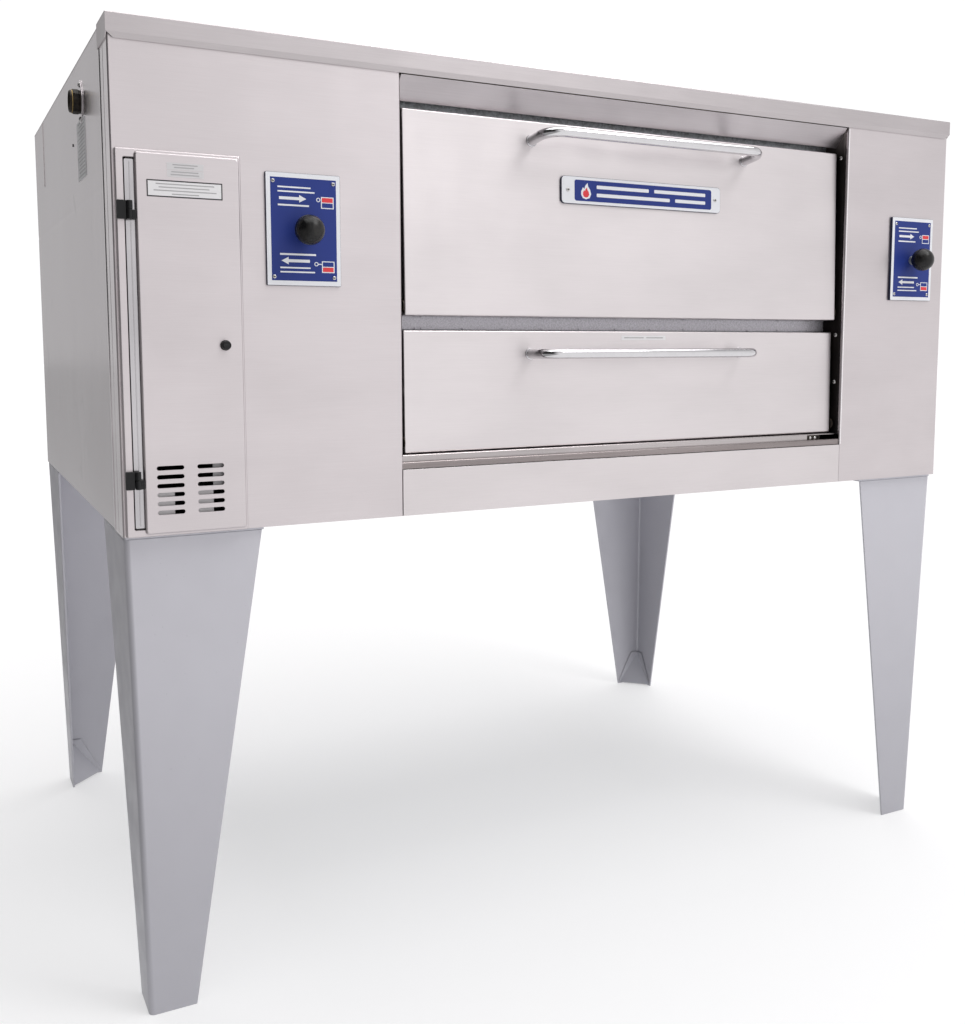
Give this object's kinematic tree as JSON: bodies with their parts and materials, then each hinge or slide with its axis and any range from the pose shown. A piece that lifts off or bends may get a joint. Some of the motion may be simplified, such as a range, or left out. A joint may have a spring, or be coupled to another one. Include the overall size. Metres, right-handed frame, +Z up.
{
  "type": "gas deck oven",
  "caption": "Gas-fired pizza deck oven: a wide stainless cabinet on tapered legs, with drop-down baking and burner doors, side damper knobs and a control compartment.",
  "frame": {"origin": "centre of the overall footprint on the floor, under the feet", "axes": "+X to the right along the front, +Y from the doors towards the back, +Z up"},
  "size_m": [1.6756, 1.2044, 1.492],
  "materials": {
    "stainless": "fine vertical and horizontal brushed grain, semi-matt",
    "stainless_bright": "smooth mill finish, soft reflections",
    "galvanised": "speckled zinc",
    "jamb_black": "dark heat-stained enamel",
    "leg_paint": "smooth light grey enamel",
    "chrome": "polished",
    "black_plastic": "moulded, semi-gloss",
    "dial_plate": "printed aluminium plate",
    "name_plate": "printed plate",
    "stone": "cast hearth slab, open grain",
    "pipe": "black iron pipe",
    "brass": "machined",
    "wool": "mineral wool batt",
    "valve_body": "cast",
    "oven_steel": "heat-toned mill steel",
    "screw": "zinc plated"
  },
  "bodies": {
    "root": {"back_panel": "stainless_bright", "bottom_panel": "galvanised", "burner_box": "galvanised", "burner_tubes": "oven_steel", "chamber_liner": "oven_steel", "control_door_frame": "stainless", "control_hinge_leaves": "black_plastic", "control_partition": "galvanised", "damper_guides": "galvanised", "deck_frame": "galvanised", "deck_front_strip": "galvanised", "door_jambs": "jamb_black", "fasteners": "screw", "flame_baffles": "oven_steel", "flue_duct": "stainless_bright", "front_left_panel": "stainless", "front_right_panel": "stainless", "gas_inlet_coupling": "pipe", "gas_inlet_pipe": "pipe", "gas_manifold": "pipe", "gas_valve_body": "valve_body", "hearth_slabs": "stone", "heat_plates": "dial_plate", "hinge_ledge": "stainless_bright", "insulation_batts": "wool", "left_side_panel": "stainless_bright", "leg_back_left": "leg_paint", "leg_back_right": "leg_paint", "leg_front_left": "leg_paint", "leg_front_right": "leg_paint", "oven_front_frame": "galvanised", "pilot_burner": "oven_steel", "right_side_panel": "stainless_bright", "shutoff_valve_body": "brass", "sill_panel": "stainless", "soffit_panel": "stainless", "thermostat_body": "valve_body", "top_front_cap": "stainless", "top_panel": "stainless_bright"},
    "upper_door": {"upper_door_skin": "stainless", "upper_door_liner": "oven_steel", "upper_door_handle": "chrome", "upper_door_pins": "jamb_black", "name_plate": "name_plate"},
    "lower_door": {"lower_door_skin": "stainless", "lower_door_liner": "oven_steel", "lower_door_handle": "chrome", "lower_door_pins": "jamb_black"},
    "control_door": {"control_door_panel": "stainless", "control_hinge_knuckles": "black_plastic"},
    "control_latch": {"control_latch": "black_plastic"},
    "left_damper": {"left_damper_slide": "galvanised", "left_damper_knob": "black_plastic"},
    "right_damper": {"right_damper_slide": "galvanised", "right_damper_knob": "black_plastic"},
    "shutoff_lever": {"shutoff_lever": "black_plastic"},
    "gas_valve_knob": {"gas_valve_knob": "black_plastic"},
    "pilot_button": {"pilot_button": "black_plastic"},
    "thermostat_dial": {"thermostat_dial": "black_plastic"}
  },
  "joints": [
    {"name": "upper_door_hinge", "type": "hinge", "parent": "root", "child": "upper_door", "pos_m": [0.08775, -0.52175, 1.096], "axis": [1, 0, 0], "range_deg": [0, 90]},
    {"name": "lower_door_hinge", "type": "hinge", "parent": "root", "child": "lower_door", "pos_m": [0.08775, -0.52175, 0.872], "axis": [1, 0, 0], "range_deg": [0, 90]},
    {"name": "control_door_hinge", "type": "hinge", "parent": "root", "child": "control_door", "pos_m": [-0.79925, -0.55975, 1.031], "axis": [0, 0, -1], "range_deg": [0, 110]},
    {"name": "control_latch_turn", "type": "hinge", "parent": "control_door", "child": "control_latch", "pos_m": [-0.66995, -0.55775, 1.032], "axis": [0, 1, 0], "range_deg": [0, 90]},
    {"name": "left_damper_pull", "type": "slide", "parent": "root", "child": "left_damper", "axis": [0, -1, 0], "range_m": [0, 0.075]},
    {"name": "right_damper_pull", "type": "slide", "parent": "root", "child": "right_damper", "axis": [0, -1, 0], "range_m": [0, 0.075]},
    {"name": "shutoff_turn", "type": "hinge", "parent": "root", "child": "shutoff_lever", "pos_m": [-0.72575, -0.42175, 1.224], "axis": [0, 1, 0], "range_deg": [0, 90]},
    {"name": "gas_valve_turn", "type": "hinge", "parent": "root", "child": "gas_valve_knob", "pos_m": [-0.73875, -0.42575, 1.124], "axis": [0, 1, 0], "range_deg": [0, 180]},
    {"name": "pilot_button_press", "type": "slide", "parent": "root", "child": "pilot_button", "axis": [0, 1, 0], "range_m": [0, 0.006], "stiffness_N_per_m": 300},
    {"name": "thermostat_turn", "type": "hinge", "parent": "root", "child": "thermostat_dial", "pos_m": [-0.72575, -0.50075, 0.974], "axis": [0, 1, 0], "range_deg": [0, 300]}
  ]
}
